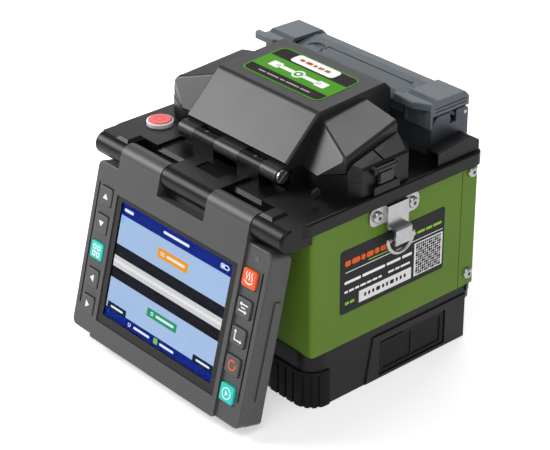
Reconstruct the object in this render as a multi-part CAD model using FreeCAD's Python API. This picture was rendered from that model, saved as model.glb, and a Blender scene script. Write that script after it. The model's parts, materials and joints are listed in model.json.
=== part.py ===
import FreeCAD, Part
import itertools
import math
import os

V = FreeCAD.Vector

# ------------------------------------------------------------------ driving dimensions (mm, degrees)
# Handheld fusion splicer. +X is the right side, +Y the back, +Z up.
# The origin is the centre of the flat underside of the base.
CASE_X = 70.0            # half width of the green case
CASE_FRONT = -56.4
CASE_BACK = 55.4
CASE_SEAM = 43.2         # where the side sheets meet the rear panel's flanges
SHEET = 1.5
BASE_TOP = 30.0
CAP_X = 72.0             # half width of the black top cap
CAP_FRONT = -64.0
CAP_BACK = 56.4
CAP_LIP = 98.0
CAP_TOP = 105.0
CAP_PLATE = 3.0

SCREEN_AXIS = (-70.0, 99.0)      # y, z of the screen hinge
SCREEN_TILT = 14.68              # lean of the screen away from vertical
SCREEN_X = 65.8                  # half width of the screen module
SCREEN_MID = 48.8                # half width of its raised middle panel
SCREEN_LENGTH = 97.2
BEAM_RADIUS = 6.0
SADDLE_X = 17.2                  # half width of the fixed barrel in the middle
RECESS_X = 39.0                  # half width of the shallow recess behind the screen's barrels
RECESS_FLOOR = 103.4
CAP_EDGE = -60.4                 # front edge of the cap behind those barrels
ARM_X = (17.6, 48.5)             # the screen's barrels
SHAFT_RADIUS = 2.5
KEY_X = 54.8
KEY_FIRST = 23.7
KEY_PITCH = 14.65
KEY_SIZE = (9.6, 9.0)
KEY_FLANGE = 0.9
COVER_SCREWS = [(-58.0, 20.0), (58.0, 20.0), (-58.0, 89.0), (58.0, 89.0)]

HOOD_AXIS = (-45.7, 111.4)       # y, z of the hood hinge
HOOD_X = 37.0                    # half width of the hood's middle
HOOD_WALL = 2.0
KNUCKLE = 4.0
POST_X = (8.95, 24.6)             # the cap's two posts, between the hood's knuckles
PIN = 1.5
RUNNING = 0.04                   # radial clearance of a turning fit
CLEAR = 0.1                      # radial clearance of a screw hole

FIBRE_Y = -10.0
FIBRE_Z = 120.6
CLAMP_AXIS = (3.0, 121.4)        # y, z of the pins of the fibre and sheath clamps

HEATER_X = 60.0
HEATER_FRONT = 30.4
HEATER_BACK = 55.9
HEATER_TOP = 125.0
HEATER_AXIS = (53.6, 122.3)      # y, z of the heater lid's pin
LID_X = 41.7
CLAMP_X = (42.2, 60.2)           # the right-hand end clamp of the heater
CLAMP_TOP = 134.1
LIP_REACH = 4.7                  # how far a clamp's finger lip stands past its left end

BATTERY_Y = (-11.4, 34.0)
BATTERY_Z = (2.4, 21.1)
BATTERY_X = (-46.6, 70.2)
SIDE_PANEL_X = 70.8              # face of the raised panels on the sides of the base

BUTTON = (-57.9, -43.7)
BUTTON_RADIUS = 7.1
LENS_RADIUS = 6.1

BRACKET_SCREWS_Y = (-16.0, 7.3)
BRACKET_SCREW_Z = 93.0
PANEL_SCREW_Y = 49.6
PANEL_SCREWS_Z = (94.6, 37.0)
M3 = 1.45
RING_BAR = (74.7, 79.6)          # x, z of the strap ring's straight bar
RING_Y = -3.6
RING_RADIUS = 8.4
RING_WIRE = 1.05


# ------------------------------------------------------------------ helpers
def box(x0, x1, y0, y1, z0, z1):
    return Part.makeBox(x1 - x0, y1 - y0, z1 - z0, V(x0, y0, z0))


def rod_x(x0, x1, y, z, radius):
    return Part.makeCylinder(radius, x1 - x0, V(x0, y, z), V(1, 0, 0))


def rod_z(x, y, z0, z1, radius):
    return Part.makeCylinder(radius, z1 - z0, V(x, y, z0))


def prism(axis, outline, low, high):
    """Extrudes an outline along an axis; its points are the other two coordinates in X, Y, Z order."""
    corner = {
        "x": lambda a, b: V(low, a, b),
        "y": lambda a, b: V(a, low, b),
        "z": lambda a, b: V(a, b, low),
    }[axis]
    points = [corner(a, b) for a, b in outline]
    way = {"x": V(1, 0, 0), "y": V(0, 1, 0), "z": V(0, 0, 1)}[axis]
    return Part.Face(Part.makePolygon(points + points[:1])).extrude(way * (high - low))


def runs_along(edge, axis):
    """True for a straight edge parallel to an axis."""
    ends = edge.Vertexes
    if len(ends) != 2 or not isinstance(edge.Curve, (Part.Line, Part.LineSegment)):
        return False
    way = ends[1].Point - ends[0].Point
    others = {"x": (way.y, way.z), "y": (way.x, way.z), "z": (way.x, way.y)}[axis]
    return max(abs(others[0]), abs(others[1])) < 1e-6


def rounded(shape, radius, axis, keep=None):
    """Rounds the edges parallel to an axis, or those of them whose middle passes keep."""
    edges = [e for e in shape.Edges if runs_along(e, axis)]
    if keep:
        edges = [e for e in edges if keep(e.CenterOfMass)]
    return shape.makeFillet(radius, edges)


def slab(x0, x1, y0, y1, z0, z1, radius, axis="z"):
    return rounded(box(x0, x1, y0, y1, z0, z1), radius, axis)


def softened(shape, radius, keep):
    """Rounds every edge whose middle passes keep."""
    return shape.makeFillet(radius, [e for e in shape.Edges if keep(e.CenterOfMass)])


def convex(points):
    """Closed solid with flat faces round a set of corners."""
    corners = [V(*p) for p in points]
    faces = []
    seen = set()
    for a, b, c in itertools.combinations(corners, 3):
        normal = (b - a).cross(c - a)
        if normal.Length < 1e-6:
            continue
        normal.normalize()
        side = [(p - a).dot(normal) for p in corners]
        if max(side) > 1e-6 and min(side) < -1e-6:
            continue
        members = frozenset(i for i, s in enumerate(side) if abs(s) <= 1e-6)
        if members in seen:
            continue
        seen.add(members)
        ring = [corners[i] for i in members]
        middle = sum(ring, V()) * (1.0 / len(ring))
        u = (ring[0] - middle).normalize()
        v = normal.cross(u)
        ring.sort(key=lambda p: math.atan2((p - middle).dot(v), (p - middle).dot(u)))
        faces.append(Part.Face(Part.makePolygon(ring + ring[:1])))
    shell = Part.makeShell(faces)
    shell.sewShape()
    solid = Part.makeSolid(shell)
    if solid.Volume < 0:
        solid.reverse()
    return solid


def mirrored(shape):
    return shape.mirror(V(), V(1, 0, 0))


def both(shape):
    """A right-hand solid and its left-hand twin, as separate solids."""
    return Part.makeCompound(solids([shape, mirrored(shape)]))


def solids(shapes):
    return [s for shape in shapes for s in shape.Solids]


def group(*shapes):
    return Part.makeCompound(solids(shapes))


def hung(shape):
    """Places a piece modelled on the screen: X across, -Y out of its face, -Z down its length."""
    shape = shape.copy()
    shape.rotate(V(), V(1, 0, 0), -SCREEN_TILT)
    shape.translate(V(0, *SCREEN_AXIS))
    return shape


def panel(u0, u1, v0, v1, w0, w1, radius=0.0):
    """A block on the screen: across u, down v, outwards w, with rounded corners seen from the front."""
    block = box(u0, u1, -w1, -w0, -v1, -v0)
    return rounded(block, radius, "y") if radius else block


# ------------------------------------------------------------------ base and case
def corner_ring(z0, z1):
    """The four corner zones of the base that carry rubber bumpers."""
    outer = slab(-CASE_X - 0.9, CASE_X + 0.9, -57.9, 54.9, z0, z1, 10.9)
    ring = outer.cut(slab(-68.8, 68.8, -55.8, 52.8, z0 - 1, z1 + 1, 8.8))
    front = box(42.0, 72.0, -60.0, -45.0, z0 - 1, z1 + 1)
    back = box(50.0, 72.0, 49.3, 60.0, z0 - 1, z1 + 1)
    corners = front.fuse([mirrored(front), back, mirrored(back)])
    return ring.common(corners)


def battery_bay():
    return box(-47.0, 75.0, -11.8, 34.4, 2.0, 21.5)


def base_tray():
    tray = slab(-CASE_X, CASE_X, -57.0, 54.0, 0.0, BASE_TOP, 10.0)
    rear_lip = slab(-CASE_X, CASE_X, 30.0, 56.2, 22.0, BASE_TOP, 8.0)
    rear_rim = slab(-CASE_X - 0.9, CASE_X + 0.9, 36.0, 56.4, 26.4, BASE_TOP, 9.0)
    rear_rim = rear_rim.common(box(-80.0, 80.0, 49.3, 60.0, 20.0, 40.0))
    outline = [(-21.0, 0.0), (-16.0, 25.5), (49.0, 25.5), (49.0, 0.0)]
    side_panel = prism("x", outline, 66.0, SIDE_PANEL_X)
    side_panel = softened(side_panel, 0.6, lambda c: c.x > SIDE_PANEL_X - 0.1)
    tray = tray.fuse([rear_lip, rear_rim, side_panel, mirrored(side_panel)])
    tray = tray.cut(slab(-66.8, 66.8, -53.8, 50.8, 3.0, BASE_TOP + 1, 6.8))
    tray = tray.fuse(box(-49.5, 67.5, -14.0, 36.6, 2.5, 23.7))
    tray = tray.cut(battery_bay())
    tray = tray.cut(corner_ring(-1.0, 20.0))
    insert_hole = rod_z(0.0, -33.0, -1.0, 9.0, 5.0)
    tray = tray.fuse(rod_z(0.0, -33.0, 1.0, 8.5, 8.0))
    return tray.cut(insert_hole)


def corner_bumpers():
    ring = corner_ring(0.0, 20.0)
    for x in (47.5, 53.0, 58.5):
        groove = box(x - 0.8, x + 0.8, -59.0, -57.1, -1.0, 18.0)
        ring = ring.cut([groove, mirrored(groove)])
    for y, angles in ((-47.0, (25.0, 45.0, 65.0)), (44.0, (125.0, 147.0))):
        for angle in angles:
            groove = box(-0.8, 0.8, -12.0, -10.1, -1.0, 18.0)
            groove.rotate(V(), V(0, 0, 1), angle)
            groove.translate(V(60.0, y, 0.0))
            ring = ring.cut([groove, mirrored(groove)])
    return group(ring)


def tripod_insert():
    return rod_z(0.0, -33.0, 0.0, 8.5, 5.0).cut(rod_z(0.0, -33.0, -1.0, 9.0, 2.6))


def side_screw_holes():
    """Clearance holes for the screws through both sides of the case and the chassis tabs."""
    places = [(y, BRACKET_SCREW_Z) for y in BRACKET_SCREWS_Y]
    places += [(PANEL_SCREW_Y, z) for z in PANEL_SCREWS_Z]
    return [rod_x(-80.0, 80.0, y, z, M3 + CLEAR) for y, z in places]


def case_wrap():
    outer = slab(-CASE_X, CASE_X, CASE_FRONT, 60.0, BASE_TOP, 101.0, 2.5)
    inner = slab(-68.5, 68.5, CASE_FRONT + SHEET, 61.0, BASE_TOP - 1, 102.0, 1.0)
    wrap = outer.cut(inner)
    behind_seam = box(-80.0, 80.0, CASE_SEAM, 70.0, 0.0, 110.0)
    front_notch = box(-44.0, 44.0, -60.0, -50.0, 99.0, 110.0)
    wrap = wrap.cut([behind_seam, front_notch])
    return wrap.cut(side_screw_holes())


def rear_panel():
    outer = slab(-CASE_X, CASE_X, 30.0, CASE_BACK, BASE_TOP, 101.0, 2.5)
    inner = slab(-68.5, 68.5, 20.0, CASE_BACK - SHEET, BASE_TOP - 1, 102.0, 1.0)
    back = outer.cut(inner)
    back = back.cut(box(-80.0, 80.0, 20.0, CASE_SEAM + 0.5, 0.0, 110.0))
    back = back.cut(side_screw_holes())
    for i in range(7):
        z = 60.0 + 4.0 * i
        back = back.cut(slab(14.0, 54.0, 50.0, 60.0, z, z + 1.8, 0.85, "y"))
    back = back.cut(slab(-58.0, -18.0, 50.0, 60.0, 44.0, 62.0, 2.0, "y"))
    return back


def rear_ports():
    """Port block in the rear panel: power inlet with its centre pin, and a USB socket."""
    block = slab(-57.7, -18.3, 46.0, CASE_BACK + 0.6, 44.3, 61.7, 1.8, "y")
    inlet = Part.makeCylinder(3.6, 9.0, V(-47.0, 47.0, 53.0), V(0, 1, 0))
    inlet = inlet.fuse(Part.makeCylinder(3.0, 11.0, V(-47.0, 47.0, 53.0), V(0, 1, 0)))
    block = block.cut(inlet)
    block = block.fuse(Part.makeCylinder(1.0, 8.0, V(-47.0, 46.5, 53.0), V(0, 1, 0)))
    block = block.cut(slab(-36.0, -23.5, 47.0, 60.0, 50.2, 55.0, 0.5, "y"))
    return block.fuse(box(-35.0, -24.5, 46.5, 54.5, 52.9, 54.3))


def chassis():
    """Inner sheet that the optics stand on, with tapped tabs for the side screws."""
    plate = box(-66.0, 66.0, -52.0, 52.0, 84.0, 86.0)
    upper = box(65.0, 68.3, -22.0, 13.0, 84.0, 97.5)
    rear = box(66.5, 68.3, 45.0, 52.0, 32.0, 97.5)
    foot = box(64.0, 68.3, 45.0, 52.0, 84.0, 86.0)
    tabs = [upper, rear, foot]
    frame = plate.fuse(tabs + [mirrored(tab) for tab in tabs])
    return frame.cut(side_screw_holes())


def pan_screw(x, y, z, length):
    """Domed hex-socket screw whose head seats on the plane X = x and points along +X."""
    head = rod_x(x, x + 2.0, y, z, 3.0)
    head = head.makeFillet(1.5, [e for e in head.Edges if e.CenterOfMass.x > x + 1.9])
    corners = []
    for i in range(6):
        angle = math.radians(60 * i)
        corners.append((y + 1.15 * math.cos(angle), z + 1.15 * math.sin(angle)))
    head = head.cut(prism("x", corners, x + 0.9, x + 3.0))
    return head.fuse(rod_x(x - length, x + 0.1, y, z, M3))


def case_screws():
    """Side screws of the case, and the two set screws that lock the hood's pin."""
    screws = [pan_screw(71.2, y, BRACKET_SCREW_Z, 8.0) for y in BRACKET_SCREWS_Y]
    screws += [pan_screw(CASE_X, PANEL_SCREW_Y, z, 6.0) for z in PANEL_SCREWS_Z]
    y, z = HOOD_AXIS
    set_screw = rod_z(18.0, y, z + PIN + 0.1, z + KNUCKLE - 0.1, 0.9)
    screws.append(set_screw.cut(rod_z(18.0, y, z + KNUCKLE - 0.8, z + 5.0, 0.4)))
    return group(*[both(s) for s in screws])


def strap_brackets():
    """Steel loop on each side that carries the strap ring."""
    low, high = BRACKET_SCREW_Z - 4.8, BRACKET_SCREW_Z + 4.8
    y0, y1 = BRACKET_SCREWS_Y
    front_ear = slab(70.0, 71.2, y0 - 4.8, -9.6, low, high, 3.6, "x")
    rear_ear = slab(70.0, 71.2, 2.0, y1 + 4.8, low, high, 3.6, "x")
    bracket = front_ear.fuse(
        [
            rear_ear,
            box(70.0, 71.2, -12.0, -9.6, low, high),
            box(70.0, 71.2, 2.0, 4.0, low, high),
            box(70.0, 73.2, -10.7, -9.5, 86.4, 97.2),
            box(70.0, 73.2, 2.0, 3.2, 86.4, 97.2),
            box(72.0, 73.2, -10.7, 3.2, 84.4, 97.2),
            box(72.0, 77.4, -9.2, 1.6, 84.4, 85.6),
            box(76.2, 77.4, -9.2, 1.6, 77.0, 85.6),
            box(73.0, 77.4, -9.2, 1.6, 77.0, 78.2),
        ]
    )
    bracket = rounded(bracket, 1.0, "y", lambda c: c.x > 77.3 and c.z > 85.5)
    for y in BRACKET_SCREWS_Y:
        bracket = bracket.cut(rod_x(60.0, 80.0, y, BRACKET_SCREW_Z, M3 + CLEAR))
    return both(bracket)


def d_ring():
    """Straight bar with a half round below it, bent from one wire."""
    x, z = RING_BAR
    left = V(x, RING_Y - RING_RADIUS, z)
    right = V(x, RING_Y + RING_RADIUS, z)
    low = V(x, RING_Y, z - RING_RADIUS)
    bow = Part.Wire([Part.Arc(left, low, right).toShape()])
    section = Part.Wire([Part.Circle(left, V(0, 0, 1), RING_WIRE).toShape()])
    ring = bow.makePipeShell([section], True, False)
    bar = Part.makeCylinder(RING_WIRE, 2 * RING_RADIUS, left, V(0, 1, 0))
    ends = [Part.makeSphere(RING_WIRE, p) for p in (left, right)]
    return ring.fuse([bar] + ends)


def side_label():
    return slab(CASE_X, CASE_X + 0.25, -38.4, 31.7, 46.8, 81.5, 1.6, "x")


def battery_case():
    end = BATTERY_X[1]
    case = box(*BATTERY_X, *BATTERY_Y, *BATTERY_Z)
    case = case.cut(box(-44.6, end - 2.0, -9.4, 32.0, 4.0, 19.5))
    finger_notch = box(end - 1.5, 72.0, BATTERY_Y[0] + 0.8, 5.0, 20.1, 24.0)
    frame = slab(end - 0.5, 72.0, BATTERY_Y[0] + 2.6, BATTERY_Y[1] - 2.6, 4.4, 18.8, 1.0, "x")
    rib = box(end - 0.5, end - 0.1, 10.6, 11.4, 4.4, 18.8)
    return case.cut([finger_notch, frame.cut(rib)])


def battery_cells():
    cells = [slab(x, x + 36.0, -8.8, 31.4, 4.4, 19.0, 2.0) for x in (-43.6, -6.6, 30.4)]
    return group(*cells)


# ------------------------------------------------------------------ top cap
def cap_barrels():
    """Fixed barrels of the screen hinge with the blocks that join them to the cap, and the two clips."""
    y, z = SCREEN_AXIS
    end_block = box(49.0, 70.5, y, -56.9, z - BEAM_RADIUS, CAP_TOP)
    barrel = rod_x(49.0, 70.5, y, z, BEAM_RADIUS)
    barrel = barrel.makeFillet(1.5, [e for e in barrel.Edges if e.CenterOfMass.x > 70.4])
    clip = box(49.5, 58.5, -71.0, -60.5, 102.0, CAP_TOP + 1.4)
    clip = clip.makeChamfer(1.3, [e for e in clip.Edges if e.CenterOfMass.z > CAP_TOP + 1.3])
    saddle = box(-SADDLE_X, SADDLE_X, y, -56.9, z - BEAM_RADIUS, CAP_TOP)
    middle = rod_x(-SADDLE_X, SADDLE_X, y, z, BEAM_RADIUS)
    ends = [end_block, barrel, clip]
    return ends + [mirrored(end) for end in ends] + [saddle, middle]


def cap_recess():
    """Shallow recess behind the screen's barrels, either side of the saddle, with a sloped front lip."""
    recess = slab(-RECESS_X, RECESS_X, -66.0, -44.7, RECESS_FLOOR, CAP_TOP + 1, 1.5)
    recess = recess.cut(box(-SADDLE_X, SADDLE_X, -70.0, -40.0, 90.0, 110.0))
    slope = prism("x", [(-61.0, 101.5), (-61.0, 104.0), (-57.8, 104.0)], SADDLE_X, RECESS_X)
    label_field = box(-8.7, 8.7, -61.5, -53.2, CAP_TOP - 0.8, CAP_TOP + 1)
    knuckle_pocket = box(-POST_X[0], POST_X[0], -48.2, -42.6, 100.4, CAP_TOP + 1)
    post_seat = box(*POST_X, HOOD_AXIS[0] - KNUCKLE, -42.6, CAP_TOP - CAP_PLATE, CAP_TOP + 1)
    return [recess, slope, mirrored(slope), label_field, knuckle_pocket, post_seat, mirrored(post_seat)]


def top_cap():
    y, z = SCREEN_AXIS
    cap = slab(-CAP_X, CAP_X, CAP_FRONT, CAP_BACK, CAP_LIP, CAP_TOP, 5.0)
    cap = softened(cap, 1.2, lambda c: c.z > CAP_TOP - 0.1)
    cap = cap.cut(box(-70.3, 70.3, -56.8, 55.8, CAP_LIP - 1, CAP_TOP - CAP_PLATE))
    pocket = box(SADDLE_X, 49.0, -80.0, CAP_EDGE, 80.0, 110.0)
    cap = cap.cut([pocket, mirrored(pocket)])
    cap = cap.fuse(cap_barrels() + [box(-43.0, 43.0, CAP_EDGE, -40.0, 99.4, 102.5)])
    cap = cap.cut(cap_recess())
    cap = cap.cut(rod_z(*BUTTON, 97.0, 110.0, BUTTON_RADIUS + 0.5))
    optics_window = box(-29.0, 29.0, -26.0, 16.0, 95.0, 110.0)
    lamp_window = box(-6.0, 6.0, -38.0, 18.0, 95.0, 110.0)
    cap = cap.cut([optics_window, lamp_window])
    bores = [rod_x(x0, x1, y, z, SHAFT_RADIUS + RUNNING) for x0, x1 in ((48.0, 64.0), (8.0, 18.0))]
    return cap.cut(bores + [mirrored(b) for b in bores])


def screen_hinge_shafts():
    return both(rod_x(8.4, 63.6, *SCREEN_AXIS, SHAFT_RADIUS))


def power_button_ring():
    top = CAP_TOP + 1.8
    ring = rod_z(*BUTTON, 101.0, top, BUTTON_RADIUS)
    ring = ring.makeFillet(0.6, [e for e in ring.Edges if e.CenterOfMass.z > top - 0.1])
    ring = ring.fuse(rod_z(*BUTTON, 99.8, 101.2, BUTTON_RADIUS + 1.6))
    return ring.cut(rod_z(*BUTTON, 99.0, 110.0, LENS_RADIUS))


def power_button_lens():
    top = CAP_TOP + 2.4
    lens = rod_z(*BUTTON, 102.0, top, LENS_RADIUS)
    return lens.makeFillet(0.8, [e for e in lens.Edges if e.CenterOfMass.z > top - 0.1])


# ------------------------------------------------------------------ screen module
def bezel_barrel(x0, x1):
    return Part.makeCylinder(6.4, x1 - x0, V(x0, 0, 0), V(1, 0, 0))


def screen_bezel():
    wings = panel(-SCREEN_X, SCREEN_X, 7.5, SCREEN_LENGTH, -1.0, 5.0, 3.5)
    wings = softened(wings, 0.9, lambda c: c.y < -4.95)
    middle = panel(-SCREEN_MID, SCREEN_MID, 0.0, SCREEN_LENGTH + 0.4, -1.0, 6.3, 1.0)
    shell = wings.fuse([middle, bezel_barrel(-ARM_X[1], -ARM_X[0]), bezel_barrel(*ARM_X)])
    sides = panel(ARM_X[1], 70.0, -9.0, 7.4, -9.0, 9.0)
    notch = panel(-ARM_X[0], ARM_X[0], -9.0, 9.6, -12.0, 12.0)
    shell = shell.cut([sides, mirrored(sides), notch])
    shell = shell.cut(panel(-63.6, 63.6, 12.0, 95.0, -2.0, 2.8))
    shell = shell.cut(panel(-46.2, 46.2, 19.5, 87.7, 4.4, 8.0, 0.8))
    shell = shell.cut(panel(-44.0, 44.0, 20.8, 84.2, 0.0, 8.0))
    for u in (-KEY_X, KEY_X):
        for k in range(5):
            v = KEY_FIRST + KEY_PITCH * k
            half_u, half_v = KEY_SIZE[0] / 2 + 0.45, KEY_SIZE[1] / 2 + 0.45
            shell = shell.cut(panel(u - half_u, u + half_u, v - half_v, v + half_v, 0.0, 8.0, 1.5))
    for u in (-62.2, 62.2):
        shell = shell.cut(panel(u - 0.6, u + 0.6, 18.3, 84.0, 3.8, 6.0))
    shell = shell.cut(Part.makeCylinder(1.55, 11.0, V(56.4, -9.0, -13.3), V(0, 1, 0)))
    bore = rod_x(17.0, 49.0, 0.0, 0.0, SHAFT_RADIUS + RUNNING)
    return hung(shell.cut([bore, mirrored(bore)]))


def screen_rear_cover():
    end = -SCREEN_LENGTH
    outline = [(1.0, -7.5), (5.0, -7.5), (7.5, -11.0), (9.5, end + 1.5), (8.0, end), (1.0, end)]
    cover = prism("x", outline, -SCREEN_X, SCREEN_X)
    cover = rounded(cover, 3.0, "y")
    cover = cover.cut(panel(-63.6, 63.6, 12.0, 95.0, -5.6, 0.0))
    grip = panel(SCREEN_X - 1.0, SCREEN_X + 0.8, 32.0, 83.0, -6.0, -2.4, 0.7)
    cover = cover.fuse([grip, mirrored(grip)])
    for v in (30.0, 36.0, 42.0, 48.0):
        cover = cover.cut(panel(-30.0, 30.0, v, v + 1.6, -12.0, -6.6))
    for u, v in COVER_SCREWS:
        cover = cover.cut(Part.makeCylinder(2.6, 5.0, V(u, 7.6, -v), V(0, 1, 0)))
        cover = cover.cut(Part.makeCylinder(1.3, 12.0, V(u, 1.0, -v), V(0, 1, 0)))
    return hung(cover)


def screen_cover_screws():
    screws = []
    for u, v in COVER_SCREWS:
        head = Part.makeCylinder(2.2, 1.2, V(u, 7.6, -v), V(0, 1, 0))
        head = head.cut(box(u - 0.3, u + 0.3, 8.2, 9.5, -v - 1.5, -v + 1.5))
        head = head.cut(box(u - 1.5, u + 1.5, 8.2, 9.5, -v - 0.3, -v + 0.3))
        screws.append(hung(head.fuse(Part.makeCylinder(1.2, 4.2, V(u, 3.5, -v), V(0, 1, 0)))))
    return group(*screws)


def screen_glass():
    return hung(panel(-46.0, 46.0, 19.7, 87.5, 4.4, 5.7, 0.7))


def lcd_module():
    module = panel(-45.5, 45.5, 20.0, 87.0, -0.4, 2.7)
    return hung(module.fuse(panel(-43.4, 43.4, 21.2, 83.6, 2.0, 4.3)))


def screen_board():
    board = panel(-62.5, 62.5, 14.0, 93.0, -2.6, -1.0)
    chips = [panel(-20.0, -4.0, 40.0, 56.0, -4.2, -2.6), panel(10.0, 34.0, 60.0, 68.0, -3.8, -2.6)]
    domes = []
    for u in (-KEY_X, KEY_X):
        for k in range(5):
            v = KEY_FIRST + KEY_PITCH * k
            domes.append(panel(u - 2.0, u + 2.0, v - 2.0, v + 2.0, -1.0, -0.2))
    return hung(board.fuse(chips + domes))


def status_led():
    return hung(Part.makeCylinder(1.5, 4.9, V(56.4, -5.1, -13.3), V(0, 1, 0)))


def key(column, row):
    """One key cap with its retaining flange; column is -1 or 1, row counts down from 0."""
    u = column * KEY_X
    v = KEY_FIRST + KEY_PITCH * row
    half_u, half_v = KEY_SIZE[0] / 2, KEY_SIZE[1] / 2
    cap = panel(u - half_u, u + half_u, v - half_v, v + half_v, 1.4, 6.2, 1.2)
    cap = softened(cap, 0.5, lambda c: c.y < -6.15)
    half_u += KEY_FLANGE
    half_v += KEY_FLANGE
    return hung(cap.fuse(panel(u - half_u, u + half_u, v - half_v, v + half_v, 1.2, 2.3)))


# ------------------------------------------------------------------ wind hood
HOOD_OUTER = [
    (-41.2, 113.4), (-41.2, 115.2), (-43.0, 117.3), (-22.4, 137.3), (21.5, 139.7), (25.5, 136.0), (25.5, 113.4),
]
HOOD_INNER = [(-39.0, 100.0), (-39.0, 118.2), (-21.4, 135.2), (20.6, 137.6), (23.5, 135.0), (23.5, 100.0)]
WING_TIP = (63.15, -29.5, 124.45)        # front corner of the hood's right wing
WING_APEX = (36.0, -20.0, 132.718)       # where its front ridge runs into the middle of the hood
WING_FOOT = (50.0, -35.2, 113.4)
FOOT_INSIDE_Y = -33.22                   # where the wing's front meets the hood's bottom edge inside the middle
WING_SKIRT = 117.6                       # lower edge of its side, below the tip
WING_REAR = [(57.3, 9.6, 124.8), (36.0, 7.6, 118.0)]
WING_RIDGE = 2.2                         # rounding of the ridges that meet at the tip
WING_TOP_Z = 134.6                       # height of its flat top at X = 40, Y = 7.6
WING_INNER = [
    (34.0, -31.0, 100.0), (49.4, -32.6, 100.0), (60.9, -27.6, 100.0), (55.2, 7.6, 100.0), (34.0, 6.4, 100.0),
    (61.0, -27.4, 122.6), (40.0, -20.0, 128.8), (34.0, -20.0, 129.4), (34.0, 6.0, 132.4), (40.0, 6.0, 131.8),
    (55.2, 7.6, 127.8),
]


def height(a, b, c, x, y):
    """Height at (x, y) of the plane through three points."""
    normal = (V(*b) - V(*a)).cross(V(*c) - V(*a))
    return a[2] - (normal.x * (x - a[0]) + normal.y * (y - a[1])) / normal.z


def between(a, b):
    """Test for the edge of a solid that joins two of its corners."""
    middle = (V(*a) + V(*b)) * 0.5
    return lambda c: (c - middle).Length < 0.5


def hood_wing():
    """Solid of the right wing: a flat top, a slanted front, an upright side and an upright back."""
    top_point = (40.0, 7.6, WING_TOP_Z)
    rear_tops = [(x, y, height(WING_TIP, WING_APEX, top_point, x, y)) for x, y, _ in WING_REAR]
    inside_x = WING_APEX[0]
    foot_inside = (inside_x, FOOT_INSIDE_Y, height(WING_FOOT, WING_TIP, WING_APEX, inside_x, FOOT_INSIDE_Y))
    skirt = (WING_TIP[0], WING_TIP[1], WING_SKIRT)
    wing = convex([WING_TIP, WING_APEX, WING_FOOT, foot_inside, skirt] + rear_tops + WING_REAR)
    ridges = [between(WING_TIP, WING_APEX), between(WING_TIP, rear_tops[0])]
    return softened(wing, WING_RIDGE, lambda c: any(ridge(c) for ridge in ridges))


def hood_shell():
    middle = prism("x", HOOD_OUTER, -HOOD_X, HOOD_X)
    middle = rounded(middle, 4.0, "x", lambda c: c.z > 130.0)
    middle = softened(middle, 1.2, lambda c: abs(c.x) > HOOD_X - 0.1 and c.z > 118.0)
    wing = hood_wing()
    shell = middle.fuse([wing, mirrored(wing)])
    y, z = HOOD_AXIS
    for x0, x1 in ((-36.2, -24.8), (-8.75, 8.75), (24.8, 36.2)):
        shell = shell.fuse([rod_x(x0, x1, y, z, KNUCKLE), box(x0, x1, y, -40.4, z - 1.8, z + 3.9)])
    shell = shell.cut(prism("x", HOOD_INNER, -35.0, 35.0))
    inner = convex(WING_INNER)
    shell = shell.cut([inner, mirrored(inner)])
    shell = shell.cut(rod_x(-40.0, 36.3, y, z, PIN + RUNNING))
    return shell.cut(box(36.2, 40.0, y - 4.5, y + 3.6, z - 4.5, z + 4.0))


def hood_label():
    label = slab(-28.2, 28.2, -15.6, 14.4, 0.0, 0.3, 4.0)
    (y0, z0), (y1, z1) = HOOD_OUTER[3:5]
    slope = (z1 - z0) / (y1 - y0)
    label.rotate(V(), V(1, 0, 0), math.degrees(math.atan(slope)))
    label.translate(V(0.0, 0.0, z0 - slope * y0))
    return label


def hood_lamps():
    lamps = [rod_z(x, FIBRE_Y, 133.4, 135.5, 2.4) for x in (-7.0, 7.0)]
    return group(*lamps)


def hinge_posts():
    y, z = HOOD_AXIS
    post = box(*POST_X, y - KNUCKLE, -42.6, CAP_TOP - CAP_PLATE, z)
    post = post.fuse(rod_x(*POST_X, y, z, KNUCKLE))
    post = post.cut(rod_x(8.0, 26.0, y, z, PIN + RUNNING))
    return both(post.cut(rod_z(18.0, y, z + 1.0, z + 5.0, 0.95)))


def hinge_pins():
    """Fixed steel pins: the hood's with its slotted head, the heater lid's, and the two clamp pins."""
    y, z = HOOD_AXIS
    pin = rod_x(-36.0, 36.6, y, z, PIN)
    head = rod_x(36.4, 37.6, y, z, 3.4)
    slot = box(37.0, 38.0, y - 4.0, y + 4.0, z - 0.4, z + 0.4)
    slot.rotate(V(37.0, y, z), V(1, 0, 0), 38.0)
    hood_pin = pin.fuse(head).cut(slot)
    heater_pin = rod_x(-60.3, 60.3, *HEATER_AXIS, 1.0)
    return group(hood_pin, heater_pin, both(rod_x(8.4, 27.8, *CLAMP_AXIS, 1.0)))


# ------------------------------------------------------------------ splice housing and optics
def side_block():
    """Raised block at the right end of the splice housing, bevelled along its top edges."""
    foot = [(64.0, -29.2), (69.5, -24.5), (69.5, 5.5), (66.0, 9.0), (57.9, 9.4)]
    top = [
        (64.0, -29.2, 118.2), (64.0, -25.8, 121.2), (69.5, -24.5, 118.9), (68.3, -23.5, 120.1),
        (69.5, 5.5, 119.4), (68.3, 4.5, 120.7), (66.0, 9.0, 119.8), (57.9, 9.4, 124.6),
    ]
    return convex([(x, y, 112.5) for x, y in foot] + top)


def wing_wall():
    """Wall that closes the gap below the front edge of the hood's right wing."""
    x0, y0, z0 = WING_FOOT
    x1, y1, z1 = 64.2, -29.1, WING_SKIRT
    outer = [(x0, y0, z0 - 0.4), (x1, y1, z1 - 0.4), (x0, y0, 112.0), (x1, y1, 112.0)]
    return convex(outer + [(x, y + 1.6, z) for x, y, z in outer])


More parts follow.
